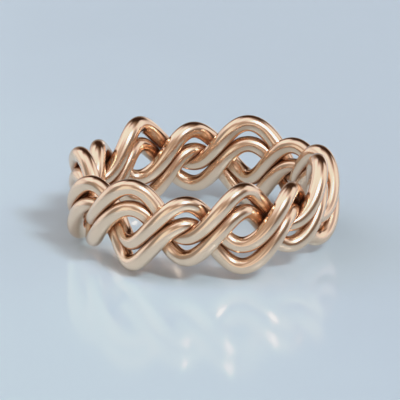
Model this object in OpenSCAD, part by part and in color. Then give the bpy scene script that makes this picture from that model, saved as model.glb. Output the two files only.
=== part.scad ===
// Braided band ring of round wire.
// The wire goes round the finger four times. It swings up and down as it goes, and it climbs a little with each
// turn, so each turn is a strand of the braid. Runs that rise lie in the outer layer, and runs that fall lie in
// the inner layer. Two strands that run side by side are pressed flat where they meet.
// The ring lies on its side: Z is the finger's axis, and Z = 0 is the surface that it rests on.

/* [Finger hole] */
// Inside diameter of the ring, across the inner layer of the braid
finger_d = 17.3; // [15:0.1:22]

/* [Wire] */
// Diameter of the round wire
wire_d = 1.38; // [1:0.02:1.6]
// Clearance between the outer layer and the inner layer
layer_gap = 0.07; // [0.02:0.01:0.2]
// Depth by which two strands side by side are pressed into each other
side_press = 0.2; // [0:0.02:0.3]
// Depth by which two strands that hook round each other are pressed into each other
hook_press = 0.39; // [0.1:0.01:0.5]
// Hair gap left between strands that run side by side or cross
press_gap = 0.05; // [0.03:0.01:0.08]
// Gap left between strands that hook round each other
hook_gap = 0.14; // [0.12:0.01:0.2]

/* [Braid] */
// Full waves that a strand makes in one turn. Half a wave comes on top, so the next turn's waves cross them
full_waves = 6; // [5:1:7]
// Direction of the hidden joint, counted from +X towards +Y
joint_angle = 25.9; // [0:0.1:359.9]

/* [Hidden] */

turns = 4;
// Strands this many turns apart run side by side, and strands this many turns apart hook round each other
side_turns = 2;
hook_turns = 3;
sides = 12;
rings_per_half_wave = 10;
wire_r = wire_d / 2;
rose_gold = [0.82, 0.61, 0.48];

// The two layers of the braid lie this far outside and inside the middle radius
layer_step = (wire_d + layer_gap) / 2;
mid_r = finger_d / 2 + wire_r + layer_step;

// Peaks and troughs that a strand makes in one turn
half_waves = 2 * round(full_waves) + 1;

// The climb of one turn is the root of the square equation that the distances of pressed strands give
side_step = wire_d - side_press;
hook_step = wire_d - hook_press;
waves_per_mm = half_waves / 2 / mid_r;
steep = pow(side_step * waves_per_mm, 2);
root_a = 4 - 9 * steep / 4;
root_b = 3 * hook_step * steep / 2;
root_c = pow(side_step, 2) + pow(hook_step, 2) * steep / 4;
climb = (root_b + sqrt(pow(root_b, 2) + 4 * root_a * root_c)) / (2 * root_a);
wave_h = 3 * climb + hook_step;

// Wave angle of one turn, and the turn at the first peak and at the first trough
turn_angle = 180 * half_waves;
peak_t = 0.5 / half_waves;
trough_t = 1.5 / half_waves;
mid_z = climb * (turns / 2 - trough_t) + wave_h / 2 + wire_r;

// The wire's two ends reach to this share of its diameter from the middle of the run that they are soldered to
end_share = 0.22;
end_t = end_share * wire_d / (2 * PI * (mid_r + layer_step));
ring_step = 1 / (half_waves * rings_per_half_wave);
nudge = ring_step / 100;

// A strand can press another only within this part of a turn, and it is looked for in these steps
reach_t = (wire_d + press_gap) / (2 * PI * (mid_r - layer_step));
look_step = ring_step / 2;

function unit(v) = v / norm(v);

// Before the first peak and after the last trough the wire runs level
function at_end(t) = t < peak_t || t > turns - peak_t;
function wave(t) = at_end(t) ? (t < turns / 2 ? 1 : -1) : sin(turn_angle * t);

// Centre of the wire after t turns
function centre(t) =
    let (a = joint_angle + 360 * t,
         r = mid_r + layer_step * cos(turn_angle * t))
    [r * cos(a), r * sin(a), mid_z + climb * (t - turns / 2) + wave_h / 2 * wave(t)];

function travel(t) = (centre(t + nudge) - centre(t - nudge)) / (2 * nudge);

// Vectors from the wire at t to the middles of the strands that are near enough to press it, less the gap to them
function pressing(t, c) = [
    for (k = [1 - turns : turns - 1], d = [-reach_t : look_step : reach_t])
        let (other = t + k + d, v = centre(other) - c, gap = abs(k) == hook_turns ? hook_gap : press_gap)
        if (k != 0 && other > end_t && other < turns - end_t && norm(v) < wire_d + gap
            && !(abs(k) == side_turns && (at_end(t) || at_end(other))))
        v * (1 - gap / norm(v))];

// Distance from the wire's centre to its surface: the wire's radius, or half way to a strand that presses it
function reach(dir, others) = min([wire_r, for (v = others) if (v * dir > 0) v * v / (2 * v * dir)]);

// One ring of points round the wire, or round a plain round bar of radius r
function ring(t, r) =
    let (c = centre(t),
         along = unit(travel(t)),
         radial = unit([c.x, c.y, 0]),
         out = unit(radial - (radial * along) * along),
         up = cross(out, along),
         others = r > 0 ? [] : pressing(t, c))
    [for (i = [0 : sides - 1])
        let (dir = cos(360 * i / sides) * out + sin(360 * i / sides) * up)
        c + (r > 0 ? r : reach(dir, others)) * dir];

// A bar swept along the wire's route from one turn to another. Without a radius it is the pressed wire.
module sweep(from, to, r = 0) {
    inner = [for (i = [ceil(from / ring_step + 0.3) : floor(to / ring_step - 0.3)]) i * ring_step];
    stops = concat([from], inner, [to]);
    points = [for (t = stops) each ring(t, r)];
    last = (len(stops) - 1) * sides;
    walls = [
        for (s = [0 : len(stops) - 2], i = [0 : sides - 1])
            let (a = s * sides + i, b = s * sides + (i + 1) % sides)
            each [[a, b, b + sides], [a, b + sides, a + sides]]];
    start_face = [for (i = [sides - 1 : -1 : 0]) i];
    end_face = [for (i = [0 : sides - 1]) last + i];
    polyhedron(points = points, faces = concat([start_face], walls, [end_face]), convexity = 10);
}

// Half of the hair gap at a soldered joint, as a part of a turn
function half_gap(t) = press_gap / 2 / norm(travel(t));

// The upright run at the joint, as much fatter as the hair gap that the wire's ends leave to it
module upright_run() {
    sweep(turns / 2 - peak_t, turns / 2 + peak_t, wire_r + press_gap);
}

module bottom_strand() {
    color(rose_gold) difference() {
        sweep(end_t, 1 - half_gap(1));
        upright_run();
    }
}

module lower_strand() {
    color(rose_gold) sweep(1 + half_gap(1), 2 - half_gap(2));
}

module upper_strand() {
    color(rose_gold) sweep(2 + half_gap(2), 3 - half_gap(3));
}

module top_strand() {
    color(rose_gold) difference() {
        sweep(3 + half_gap(3), turns - end_t);
        upright_run();
    }
}

bottom_strand();
lower_strand();
upper_strand();
top_strand();
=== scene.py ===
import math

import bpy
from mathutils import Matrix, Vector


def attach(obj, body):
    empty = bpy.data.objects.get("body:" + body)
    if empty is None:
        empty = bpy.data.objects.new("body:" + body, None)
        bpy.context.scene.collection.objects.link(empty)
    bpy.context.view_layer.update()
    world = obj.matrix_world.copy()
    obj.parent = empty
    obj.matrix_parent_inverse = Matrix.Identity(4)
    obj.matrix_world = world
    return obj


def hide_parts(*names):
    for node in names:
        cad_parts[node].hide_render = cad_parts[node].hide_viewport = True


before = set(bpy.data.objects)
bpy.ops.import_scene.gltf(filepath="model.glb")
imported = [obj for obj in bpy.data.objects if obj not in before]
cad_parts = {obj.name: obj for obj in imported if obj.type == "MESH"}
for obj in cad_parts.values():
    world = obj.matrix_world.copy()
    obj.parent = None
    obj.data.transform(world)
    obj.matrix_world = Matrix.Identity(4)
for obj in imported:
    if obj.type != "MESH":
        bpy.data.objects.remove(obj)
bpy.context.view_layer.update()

# Braided band ring of polished round wire, lying on a pale floor in soft studio light.
# Z is the finger's axis, and the camera looks along +Y.

MM = 0.001

# Sizes that the CAD model names
FINGER_D = 17.3 * MM
WIRE_D = 1.38 * MM
LAYER_GAP = 0.07 * MM
SIDE_PRESS = 0.2 * MM
HOOK_PRESS = 0.39 * MM
HALF_WAVES = 13
JOINT_ANGLE = math.radians(25.9)
TURNS = 4
SIDE_TURNS = 2
HOOK_TURNS = 3
END_SHARE = 0.22

# Each turn of the wire is one piece, and stands for the CAD strand beside it
TURN_PIECES = (
    ("bottom_turn", "bottom_strand"),
    ("lower_turn", "lower_strand"),
    ("upper_turn", "upper_strand"),
    ("top_turn", "top_strand"),
)

# The scene's wires lie this close to each other, and the lips of their pressed faces are rounded
HAIR_GAP = 0.03 * MM
LIP_SOFTNESS = 0.1 * MM
RINGS_PER_TURN = 1400
SIDES_OF_WIRE = 56
# Points at which a strand is looked for where it comes near the wire
LOOKS_PER_STRAND = 45
# A strand behind a side of the wire counts as this little ahead of it, so it is found too far off to press it
LEAST_AHEAD = 0.0001 * MM

# The metal is painted darker and browner in a seam, mostly as painted shade and partly as dark polish
# residue, and it is dull there:
# fully where the middle plane to the next strand is one wire radius off, and not at all where it is this many
# radii off
SEAM_RADII = 1.7
SEAM_SHADE_COLOUR = (0.49, 0.265, 0.16)
SEAM_SHADE_SHARE = 0.72
SEAM_ROUGHNESS = 0.13

# The metal's colour lies between these two, by the patches of its polish
GOLD_COLOURS = (0.835, 0.618, 0.452), (0.868, 0.65, 0.478)
GOLD_ROUGHNESS = 0.11
PATCH_ROUGHNESS = 0.04
STREAK_ROUGHNESS = 0.05
# How fine the patches, the drawing streaks and the ripples are, per metre. The last two have their figures
# along the wire, out from its middle and round it
PATCHES_PER_M = 900.0
STREAKS_PER_M = (300.0, 8000.0, 8000.0)
RIPPLES_PER_M = (1100.0, 1500.0, 1500.0)
# Height of a full ripple and a full streak, as parts of the relief's depth
RIPPLE_SHARE = 0.8
STREAK_SHARE = 0.7
RELIEF_DEPTH = 0.004 * MM

# The floor's colour goes from the first to the second towards the camera's left, with faint clouds in it. The
# second is the first with painted light: a soft pool of light painted on the floor
FLOOR_SIZE = 4.0
FLOOR_SHADED_AND_LIT_COLOURS = (0.598, 0.745, 0.845), (0.648, 0.810, 0.910)
FLOOR_LIGHT_SLOPE_PER_M = (-29.0, -10.0, 0.0)
FLOOR_LIGHT_FADE = (-0.6, 0.55)
FLOOR_ROUGHNESS = 0.09
GRAIN_ROUGHNESS = 0.04
CLOUDS_PER_M = 40.0
GRAIN_PER_M = 3000.0

# The photograph's view: the angle above the horizon, the width seen, and the place of the ring's middle in it
CAMERA_ELEVATION = math.radians(19.52)
CAMERA_LENS = 1200.0
CAMERA_CLIP = (0.01, 10.0)
FRAME_WIDTH = 33.43 * MM
MIDDLE_RIGHT = 0.2 * MM
MIDDLE_UP = 0.6 * MM

# How bright some tones of the scene are shown, on the one curve that bends all three colours.
# At the white level and past it, all is white
WHITE_LEVEL = 8.0
TONES = ((0.6, 0.6), (0.75, 0.74), (1.0, 0.835), (1.6, 0.89), (4.0, 0.93))
CURVE_OF_ALL_COLOURS = 3

# Soft lights and dark screens of the studio, laid over each other in this order. The angles are in degrees:
# where the screen's middle is seen from the ring, and how wide and high it looks from there.
# Azimuth 0 is the camera's side, and 90 is its right
SCREENS = (
    # azimuth, elevation, width, height, soft edge, brightness, colour
    (-75, 77, 60, 46, 18, 1.16, (1.00, 0.93, 0.96)),      # ceiling light
    (163, 48, 98, 68, 20, 0.25, (1.00, 0.68, 0.48)),      # brown screen behind, on the right
    (165, 46, 66, 46, 16, 0.04, (1.00, 0.48, 0.28)),      # its dark middle
    (183, 3, 22, 20, 10, 0.34, (0.88, 0.96, 1.05)),       # grey gap behind
    (-108, 44, 52, 36, 16, 1.25, (1.00, 0.92, 0.95)),     # light on the left
    (-117, 5, 48, 32, 22, 1.04, (0.97, 0.95, 0.98)),      # low light on the left
    (104, 15, 40, 60, 13, 1.11, (1.00, 0.93, 0.95)),      # light on the right
    (78, 45, 40, 10, 8, 0.94, (1.00, 0.90, 0.85)),        # its upper rim
    (138, 0, 46, 26, 12, 0.76, (0.98, 0.96, 0.98)),       # low light behind, on the right
    (153, -2, 22, 26, 12, 1.10, (0.98, 0.96, 0.98)),      # its bright side
    (-34, 36, 58, 26, 10, 0.51, (1.00, 0.79, 0.65)),      # brown screen above the camera
    (3, 24, 34, 22, 12, 0.41, (1.00, 0.79, 0.65)),        # its lower corner
    (-14, -2, 72, 26, 12, 0.93, (1.00, 0.95, 0.88)),      # low light at the camera
    (-33, 11, 30, 36, 14, 1.07, (1.00, 0.95, 0.88)),      # its bright side
    (-70, 14, 34, 40, 12, 0.32, (1.00, 0.92, 0.84)),      # dark screen at the camera's left
    (56, 6, 58, 36, 14, 0.21, (1.00, 0.78, 0.64)),        # dark screen at the camera's right
    (35, 46, 37, 31, 24, 1.50, (1.00, 0.95, 0.96)),       # soft light around the main light
    (35, 45, 12, 11, 4, 22.0, (0.93, 1.00, 1.04)),        # main light
)
ROOM_COLOUR = (0.50, 0.455, 0.465)

# The lamp that cools the lit floor: its azimuth, elevation and width in degrees, its strength and its colour
FLOOR_LAMP = (35, 45, 12, 0.45, (0.85, 1.00, 1.10))


class Value:
    """A socket of a node tree. Sums on values add Math nodes, or Vector Math nodes if one is a vector."""

    def __init__(self, nodes, socket):
        self.nodes, self.socket = nodes, socket

    def maths(self, operation, *others, turned=False):
        terms = (*others, self) if turned else (self, *others)
        vectors = [is_vector(term) for term in terms]
        if not any(vectors):
            return self.nodes.add("ShaderNodeMath", {"operation": operation}, dict(enumerate(terms)))[0]
        if operation == "MULTIPLY" and not all(vectors):
            vector, scale = terms if vectors[0] else reversed(terms)
            return self.nodes.add(
                "ShaderNodeVectorMath", {"operation": "SCALE"}, {0: vector, "Scale": scale})[0]
        return self.nodes.add("ShaderNodeVectorMath", {"operation": operation}, dict(enumerate(terms)))[0]

    def __add__(self, other): return self.maths("ADD", other)
    def __radd__(self, other): return self.maths("ADD", other, turned=True)
    def __sub__(self, other): return self.maths("SUBTRACT", other)
    def __rsub__(self, other): return self.maths("SUBTRACT", other, turned=True)
    def __mul__(self, other): return self.maths("MULTIPLY", other)
    def __rmul__(self, other): return self.maths("MULTIPLY", other, turned=True)
    def __truediv__(self, other): return self.maths("DIVIDE", other)
    def __rtruediv__(self, other): return self.maths("DIVIDE", other, turned=True)
    def __lt__(self, other): return self.maths("LESS_THAN", other)
    def __gt__(self, other): return self.maths("GREATER_THAN", other)

    def equals(self, whole_number): return self.maths("COMPARE", whole_number, 0.1)
    def least(self, other): return self.maths("MINIMUM", other)
    def most(self, other): return self.maths("MAXIMUM", other)
    def sine(self): return self.maths("SINE")
    def cosine(self): return self.maths("COSINE")
    def whole(self): return self.maths("FLOOR")
    def size(self): return self.maths("ABSOLUTE")
    def unit(self): return self.maths("NORMALIZE")
    def cross(self, other): return self.maths("CROSS_PRODUCT", other)

    def dot(self, other):
        settings = {"operation": "DOT_PRODUCT"}
        return self.nodes.add("ShaderNodeVectorMath", settings, {0: self, 1: other})["Value"]

    def length(self):
        return self.nodes.add("ShaderNodeVectorMath", {"operation": "LENGTH"}, {0: self})["Value"]


def is_vector(term):
    return term.socket.type in ("VECTOR", "RGBA") if isinstance(term, Value) else isinstance(term, tuple)


class Made:
    """A node that was added. Its outputs are read by name or number."""

    def __init__(self, nodes, node):
        self.nodes, self.node = nodes, node

    def __getitem__(self, name):
        return Value(self.nodes, find_socket(self.node.outputs, name))


def find_socket(sockets, name):
    """The socket of that number, or the one in use that has that name."""
    if isinstance(name, int):
        return sockets[name]
    return next(socket for socket in sockets if socket.name == name and socket.enabled)


class Nodes:
    """Adds nodes to one tree."""

    def __init__(self, tree):
        self.tree = tree

    def add(self, kind, settings=None, sockets=None):
        """One node: its settings are set first, then the values or links of its sockets."""
        node = self.tree.nodes.new(kind)
        for name, setting in (settings or {}).items():
            setattr(node, name, setting)
        self.fill(node, sockets or {})
        return Made(self, node)

    def fill(self, node, sockets):
        for name, term in sockets.items():
            socket = find_socket(node.inputs, name)
            if isinstance(term, Value):
                self.tree.links.new(term.socket, socket)
            elif isinstance(term, tuple) and socket.type == "RGBA":
                socket.default_value = (*term[:3], 1.0)
            else:
                socket.default_value = term

    def combine(self, x, y, z):
        return self.add("ShaderNodeCombineXYZ", None, {"X": x, "Y": y, "Z": z})[0]

    def mix_colour(self, factor, first, second):
        return self.add("ShaderNodeMix", {"data_type": "RGBA", "blend_type": "MIX"},
                        {"Factor": factor, "A": first, "B": second})["Result"]

    def smooth_step(self, value, start, end):
        """0 below start, 1 past end, and smooth between."""
        return self.add("ShaderNodeMapRange", {"interpolation_type": "SMOOTHSTEP"},
                        {"Value": value, "From Min": start, "From Max": end})["Result"]

    def noise(self, place, scale, **sockets):
        return self.add("ShaderNodeTexNoise", None, {"Vector": place, "Scale": scale, **sockets})["Fac"]


# The wire's shape


def braid_sizes():
    """The braid's sizes in metres and turns, by the names of the wire tree's inputs."""
    wire_radius = WIRE_D / 2
    layer_step = (WIRE_D + LAYER_GAP) / 2
    middle_radius = FINGER_D / 2 + wire_radius + layer_step
    # The climb of one turn is the root of the square equation that the distances of pressed strands give
    side_step, hook_step = WIRE_D - SIDE_PRESS, WIRE_D - HOOK_PRESS
    steep = (side_step * HALF_WAVES / 2 / middle_radius) ** 2
    root_a = SIDE_TURNS ** 2 - HOOK_TURNS ** 2 * steep / 4
    root_b = HOOK_TURNS * hook_step * steep / 2
    root_c = side_step ** 2 + hook_step ** 2 * steep / 4
    climb = (root_b + math.sqrt(root_b ** 2 + 4 * root_a * root_c)) / (2 * root_a)
    wave_height = HOOK_TURNS * climb + hook_step
    first_trough = 1.5 / HALF_WAVES
    return {
        "Wire radius": wire_radius,
        "Middle radius": middle_radius,
        "Layer step": layer_step,
        "Climb": climb,
        "Wave height": wave_height,
        "Middle height": climb * (TURNS / 2 - first_trough) + wave_height / 2 + wire_radius,
        "Half waves": HALF_WAVES,
        "Joint angle": JOINT_ANGLE,
        "Turns": TURNS,
        "Side turns": SIDE_TURNS,
        "End turn": END_SHARE * WIRE_D / (2 * math.pi * (middle_radius + layer_step)),
        "Reach": WIRE_D / (2 * math.pi * (middle_radius - layer_step)),
        "Hair gap": HAIR_GAP,
        "Lip softness": LIP_SOFTNESS,
        "Least ahead": LEAST_AHEAD,
        "Seam radii": SEAM_RADII,
        "Looks": LOOKS_PER_STRAND,
        "Sides": SIDES_OF_WIRE,
        "Rings": RINGS_PER_TURN,
    }


def wire_centre(nodes, turn, sizes):
    """Centre of the wire after so many turns. Before the first peak and after the last trough it is level."""
    phase = turn * sizes["Half waves"] * math.pi
    first_peak = 0.5 / sizes["Half waves"]
    held_turn = turn.most(first_peak).least(sizes["Turns"] - first_peak)
    wave = (held_turn * sizes["Half waves"] * math.pi).sine()
    angle = turn * (2 * math.pi) + sizes["Joint angle"]
    radius = sizes["Middle radius"] + sizes["Layer step"] * phase.cosine()
    climbed = sizes["Climb"] * (turn - sizes["Turns"] * 0.5)
    height = sizes["Middle height"] + climbed + sizes["Wave height"] * 0.5 * wave
    return nodes.combine(radius * angle.cosine(), radius * angle.sine(), height)


def at_end(turn, sizes):
    """1 on the level ends of the wire, and 0 between them."""
    first_peak = 0.5 / sizes["Half waves"]
    return (turn < first_peak).most(turn > sizes["Turns"] - first_peak)


def named(nodes, name, data_type="FLOAT"):
    settings = {"data_type": data_type}
    return nodes.add("GeometryNodeInputNamedAttribute", settings, {"Name": name})["Attribute"]


def stored(nodes, geometry, name, value, data_type="FLOAT"):
    return nodes.add("GeometryNodeStoreNamedAttribute", {"data_type": data_type, "domain": "POINT"},
                     {"Geometry": geometry, "Name": name, "Value": value})["Geometry"]


def pressed_reach(nodes, look, sizes):
    """
    Distance along the outward ray to the middle plane between this wire and one point of a strand near it.
    Looks are counted through the other strands, from the one farthest back to the one farthest on.
    """
    strand = (look / sizes["Looks"]).whole()
    farthest = sizes["Turns"] - 1
    turns_off = strand - farthest + (strand > farthest - 0.5)
    shift = (look - strand * sizes["Looks"]) / (sizes["Looks"] - 1) * 2 - 1
    turn = named(nodes, "turn")
    other = turn + turns_off + shift * sizes["Reach"]
    towards = wire_centre(nodes, other, sizes) - named(nodes, "centre", "FLOAT_VECTOR")
    distance = towards.length()
    ahead = towards.dot(named(nodes, "outward", "FLOAT_VECTOR")).most(sizes["Least ahead"])
    reach = (distance - sizes["Hair gap"]) * distance / (ahead * 2)
    past_end = (other < sizes["End turn"]).most(other > sizes["Turns"] - sizes["End turn"])
    runs_beside = turns_off.size().equals(sizes["Side turns"])
    soldered = runs_beside * at_end(turn, sizes).most(at_end(other, sizes))
    # A point past the wire's end, or on a strand soldered to it, is put a metre off, so it presses nothing
    return reach + past_end.most(soldered)


def swept_wire(nodes, sizes):
    """A round wire swept along one turn, with its centre line and directions kept as attributes."""
    line = nodes.add("GeometryNodeCurvePrimitiveLine")["Curve"]
    line = nodes.add("GeometryNodeResampleCurve", None, {"Curve": line, "Count": sizes["Rings"]})["Curve"]
    share = nodes.add("GeometryNodeSplineParameter")["Factor"]
    turn = sizes["First turn"] + share * (sizes["Last turn"] - sizes["First turn"])
    line = stored(nodes, line, "turn", turn)
    line = nodes.add("GeometryNodeSetPosition", None, {
        "Geometry": line, "Position": wire_centre(nodes, named(nodes, "turn"), sizes)})["Geometry"]
    position = nodes.add("GeometryNodeInputPosition")["Position"]
    tangent = nodes.add("GeometryNodeInputTangent")["Tangent"]
    line = stored(nodes, line, "centre", position, "FLOAT_VECTOR")
    line = stored(nodes, line, "along", tangent, "FLOAT_VECTOR")
    circle = nodes.add("GeometryNodeCurvePrimitiveCircle", None, {
        "Resolution": sizes["Sides"], "Radius": sizes["Wire radius"]})["Curve"]
    wire = nodes.add("GeometryNodeCurveToMesh", None, {
        "Curve": line, "Profile Curve": circle, "Fill Caps": True})["Mesh"]
    outward = (position - named(nodes, "centre", "FLOAT_VECTOR")).unit()
    return stored(nodes, wire, "outward", outward, "FLOAT_VECTOR")


def measured_reach(nodes, wire, sizes):
    """The wire with the least reach of all looks at the other strands, or two radii where none is near."""
    wire = stored(nodes, wire, "reach", sizes["Wire radius"] * 2.0)
    repeat_in = nodes.add("GeometryNodeRepeatInput")
    repeat_out = nodes.add("GeometryNodeRepeatOutput")
    repeat_in.node.pair_with_output(repeat_out.node)
    other_strands = (sizes["Turns"] - 1) * 2
    nodes.fill(repeat_in.node, {"Iterations": sizes["Looks"] * other_strands, "Geometry": wire})
    reach = named(nodes, "reach").least(pressed_reach(nodes, repeat_in["Iteration"], sizes))
    nodes.fill(repeat_out.node, {"Geometry": stored(nodes, repeat_in["Geometry"], "reach", reach)})
    return repeat_out["Geometry"]


def places_for_finish(nodes, wire, sizes):
    """The wire with the places that its finish follows, and with an attribute that is 1 in its seams: the
    mask of the shade painted there.
    """
    centre = named(nodes, "centre", "FLOAT_VECTOR")
    outward = named(nodes, "outward", "FLOAT_VECTOR")
    along = named(nodes, "along", "FLOAT_VECTOR")
    from_axis = (centre * (1.0, 1.0, 0.0)).unit()
    out = (from_axis - along * from_axis.dot(along)).unit()
    length_along = named(nodes, "turn") * sizes["Middle radius"] * (2 * math.pi)
    place = nodes.combine(length_along, outward.dot(out) * sizes["Wire radius"],
                          outward.dot(out.cross(along)) * sizes["Wire radius"])
    wire = stored(nodes, wire, "wire_place", place, "FLOAT_VECTOR")
    free = named(nodes, "reach") / sizes["Wire radius"]
    return stored(nodes, wire, "seam_shade", 1 - nodes.smooth_step(free, 1.0, sizes["Seam radii"]))


def pressed_wire_tree():
    """One turn of the wire, round where it is free and pressed flat against the strands beside it."""
    tree = bpy.data.node_groups.new("Pressed wire", "GeometryNodeTree")
    tree.interface.new_socket("Geometry", in_out="INPUT", socket_type="NodeSocketGeometry")
    whole_numbers = ("Looks", "Sides", "Rings")
    for name in (*braid_sizes(), "First turn", "Last turn"):
        kind = "NodeSocketInt" if name in whole_numbers else "NodeSocketFloat"
        tree.interface.new_socket(name, in_out="INPUT", socket_type=kind)
    tree.interface.new_socket("Material", in_out="INPUT", socket_type="NodeSocketMaterial")
    tree.interface.new_socket("Geometry", in_out="OUTPUT", socket_type="NodeSocketGeometry")
    nodes = Nodes(tree)
    sizes = nodes.add("NodeGroupInput")

    wire = swept_wire(nodes, sizes)
    wire = measured_reach(nodes, wire, sizes)
    wire = places_for_finish(nodes, wire, sizes)
    radius = sizes["Wire radius"].maths("SMOOTH_MIN", named(nodes, "reach"), sizes["Lip softness"])
    surface = named(nodes, "centre", "FLOAT_VECTOR") + named(nodes, "outward", "FLOAT_VECTOR") * radius
    wire = nodes.add("GeometryNodeSetPosition", None, {"Geometry": wire, "Position": surface})["Geometry"]
    for name in ("turn", "centre", "along", "outward", "reach"):
        wire = nodes.add("GeometryNodeRemoveAttribute", None, {"Geometry": wire, "Name": name})["Geometry"]

    # The wire's walls are shaded smooth, and its two end faces, which have many corners, stay flat
    corners = nodes.add("GeometryNodeInputMeshFaceNeighbors")["Vertex Count"]
    wire = nodes.add("GeometryNodeSetShadeSmooth", None, {
        "Geometry": wire, "Shade Smooth": corners < 5})["Geometry"]
    wire = nodes.add("GeometryNodeRealizeInstances", None, {"Geometry": wire})["Geometry"]
    wire = nodes.add("GeometryNodeSetMaterial", None, {
        "Geometry": wire, "Material": sizes["Material"]})["Geometry"]
    nodes.add("NodeGroupOutput", None, {"Geometry": wire})
    return tree


def turn_of_wire(name, tree, inputs):
    """An object whose mesh is the tree's result with those inputs."""
    empty = bpy.data.meshes.new(name)
    piece = bpy.data.objects.new(name, empty)
    bpy.context.scene.collection.objects.link(piece)
    modifier = piece.modifiers.new("Pressed wire", "NODES")
    modifier.node_group = tree
    for item in tree.interface.items_tree:
        if item.in_out == "INPUT" and item.name in inputs:
            modifier[item.identifier] = inputs[item.name]
    evaluated = piece.evaluated_get(bpy.context.evaluated_depsgraph_get())
    mesh = bpy.data.meshes.new_from_object(evaluated)
    piece.modifiers.remove(modifier)
    piece.data = mesh
    bpy.data.meshes.remove(empty)
    mesh.name = name
    return piece


# Materials


def new_material(name):
    material = bpy.data.materials.new(name)
    material.use_nodes = True
    material.node_tree.nodes.clear()
    return material, Nodes(material.node_tree)


def rose_gold():
    """Polished rose gold with faint drawing streaks along the wire and hand-polished patches."""
    material, nodes = new_material("rose_gold_wire")
    place = nodes.add("ShaderNodeAttribute", {"attribute_name": "wire_place"})["Vector"]
    seam_shade = nodes.add("ShaderNodeAttribute", {"attribute_name": "seam_shade"})["Fac"]
    spot = nodes.add("ShaderNodeTexCoord")["Object"]
    streaks = nodes.noise(place * STREAKS_PER_M, 1.0, Detail=3.0, Roughness=0.6)
    patches = nodes.noise(spot, PATCHES_PER_M, Detail=4.0, Roughness=0.55)
    ripples = nodes.noise(place * RIPPLES_PER_M, 1.0, Detail=1.0)
    colour = nodes.mix_colour(patches, *GOLD_COLOURS)
    # Painted shade: the colour turns dark brown in the seams, where the strands shade each other, with some
    # dark polish residue
    colour = nodes.mix_colour(seam_shade * SEAM_SHADE_SHARE, colour, SEAM_SHADE_COLOUR)
    roughness = (GOLD_ROUGHNESS + patches * PATCH_ROUGHNESS + streaks * STREAK_ROUGHNESS
                 + seam_shade * SEAM_ROUGHNESS)
    height = ripples * RIPPLE_SHARE + streaks * STREAK_SHARE
    bump = nodes.add("ShaderNodeBump", None, {
        "Strength": 1.0, "Distance": RELIEF_DEPTH, "Height": height})["Normal"]
    shader = nodes.add("ShaderNodeBsdfPrincipled", None, {
        "Base Color": colour, "Metallic": 1.0, "Roughness": roughness, "Normal": bump})["BSDF"]
    nodes.add("ShaderNodeOutputMaterial", None, {"Surface": shader})
    return material


def floor_finish():
    """Pale blue-grey board with a soft gloss, and painted light that makes it a little lighter towards the
    camera's left.
    """
    material, nodes = new_material("pale_floor")
    spot = nodes.add("ShaderNodeTexCoord")["Object"]
    clouds = nodes.noise(spot, CLOUDS_PER_M, Detail=2.0)
    grain = nodes.noise(spot, GRAIN_PER_M, Detail=2.0)
    # Painted light: the colour grows lighter towards the camera's left, as under a pool of light; the clouds
    # are the board's own faint tone
    painted_light_and_clouds = spot.dot(FLOOR_LIGHT_SLOPE_PER_M) + clouds - 0.5
    colour = nodes.mix_colour(nodes.smooth_step(painted_light_and_clouds, *FLOOR_LIGHT_FADE), *FLOOR_SHADED_AND_LIT_COLOURS)
    roughness = FLOOR_ROUGHNESS + grain * GRAIN_ROUGHNESS
    shader = nodes.add("ShaderNodeBsdfPrincipled", None, {
        "Base Color": colour, "Roughness": roughness})["BSDF"]
    nodes.add("ShaderNodeOutputMaterial", None, {"Surface": shader})
    return material


# Floor, light and camera


def pale_floor():
    half = FLOOR_SIZE / 2
    corners = [(-half, -half, 0), (half, -half, 0), (half, half, 0), (-half, half, 0)]
    mesh = bpy.data.meshes.new("floor")
    mesh.from_pydata(corners, [], [(0, 1, 2, 3)])
    mesh.materials.append(floor_finish())
    floor = bpy.data.objects.new("floor", mesh)
    bpy.context.scene.collection.objects.link(floor)


def soft_window(nodes, angle, width, edge):
    """1 inside a width that is centred on 0, falling to 0 across its soft edge."""
    return 1 - nodes.smooth_step(angle.size(), (width - edge) / 2, (width + edge) / 2)


def seen_screen(nodes, direction, azimuth, elevation, width, height, edge):
    """1 where a direction from the ring meets the screen, and 0 beside it."""
    turn, lift = math.radians(azimuth), math.radians(elevation)
    ahead = (math.sin(turn) * math.cos(lift), -math.cos(turn) * math.cos(lift), math.sin(lift))
    side = (math.cos(turn), math.sin(turn), 0.0)
    up = (-math.sin(turn) * math.sin(lift), math.cos(turn) * math.sin(lift), math.cos(lift))
    across = direction.dot(side).maths("ARCTAN2", direction.dot(ahead)).maths("DEGREES")
    upwards = direction.dot(up).maths("ARCSINE").maths("DEGREES")
    return soft_window(nodes, across, width, edge) * soft_window(nodes, upwards, height, edge)


def studio_light():
    world = bpy.data.worlds.new("studio")
    bpy.context.scene.world = world
    world.use_nodes = True
    world.node_tree.nodes.clear()
    nodes = Nodes(world.node_tree)
    direction = nodes.add("ShaderNodeTexCoord")["Generated"]
    light = ROOM_COLOUR
    for *place, brightness, colour in SCREENS:
        screen = seen_screen(nodes, direction, *place)
        light = nodes.mix_colour(screen, light, tuple(brightness * part for part in colour))
    background = nodes.add("ShaderNodeBackground", None, {"Color": light, "Strength": 1.0})["Background"]
    nodes.add("ShaderNodeOutputWorld", None, {"Surface": background})


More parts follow.
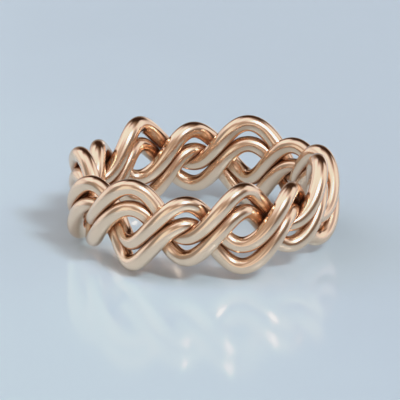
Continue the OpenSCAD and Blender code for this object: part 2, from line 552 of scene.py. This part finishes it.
def floor_lamp():
    """A lamp in the main light's place that lights the floor. The polished ring doesn't mirror it."""
    azimuth, elevation, width, strength, colour = FLOOR_LAMP
    data = bpy.data.lights.new("floor lamp", "SUN")
    data.energy, data.angle, data.color = strength, math.radians(width), colour
    lamp = bpy.data.objects.new("floor lamp", data)
    lamp.rotation_euler = (math.radians(90 - elevation), 0, math.radians(azimuth))
    lamp.visible_glossy = False
    bpy.context.scene.collection.objects.link(lamp)


def photo_camera(middle_height):
    """A camera with a very long lens, far away, because the photograph shows next to no perspective."""
    data = bpy.data.cameras.new("camera")
    data.lens = CAMERA_LENS
    data.clip_start, data.clip_end = CAMERA_CLIP
    camera = bpy.data.objects.new("camera", data)
    bpy.context.scene.collection.objects.link(camera)
    ahead = Vector((0, math.cos(CAMERA_ELEVATION), -math.sin(CAMERA_ELEVATION)))
    up = Vector((0, math.sin(CAMERA_ELEVATION), math.cos(CAMERA_ELEVATION)))
    target = Vector((0, 0, middle_height)) - Vector((MIDDLE_RIGHT, 0, 0)) - up * MIDDLE_UP
    camera.location = target - ahead * (FRAME_WIDTH * CAMERA_LENS / data.sensor_width)
    camera.rotation_euler = (math.pi / 2 - CAMERA_ELEVATION, 0, 0)
    bpy.context.scene.camera = camera


def soft_highlights(view):
    """Shows bright lights as film does: tones stay much as they are up to a knee, and then level off."""
    view.view_transform = "Standard"
    view.use_curve_mapping = True
    curves = view.curve_mapping
    curves.white_level = (WHITE_LEVEL,) * 3
    curves.clip_max_x = curves.clip_max_y = 1.0
    for bright, shown in TONES:
        curves.curves[CURVE_OF_ALL_COLOURS].points.new(bright / WHITE_LEVEL, shown)
    curves.update()


def main():
    soft_highlights(bpy.context.scene.view_settings)
    sizes = braid_sizes()
    tree = pressed_wire_tree()
    gold = rose_gold()
    end = sizes["End turn"]
    for index, (name, node) in enumerate(TURN_PIECES):
        piece = turn_of_wire(name, tree, {
            **sizes, "Material": gold,
            "First turn": float(max(index, end)), "Last turn": float(min(index + 1, TURNS - end))})
        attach(piece, "root")
        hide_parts(node)
    pale_floor()
    studio_light()
    floor_lamp()
    photo_camera(sizes["Middle height"])


main()
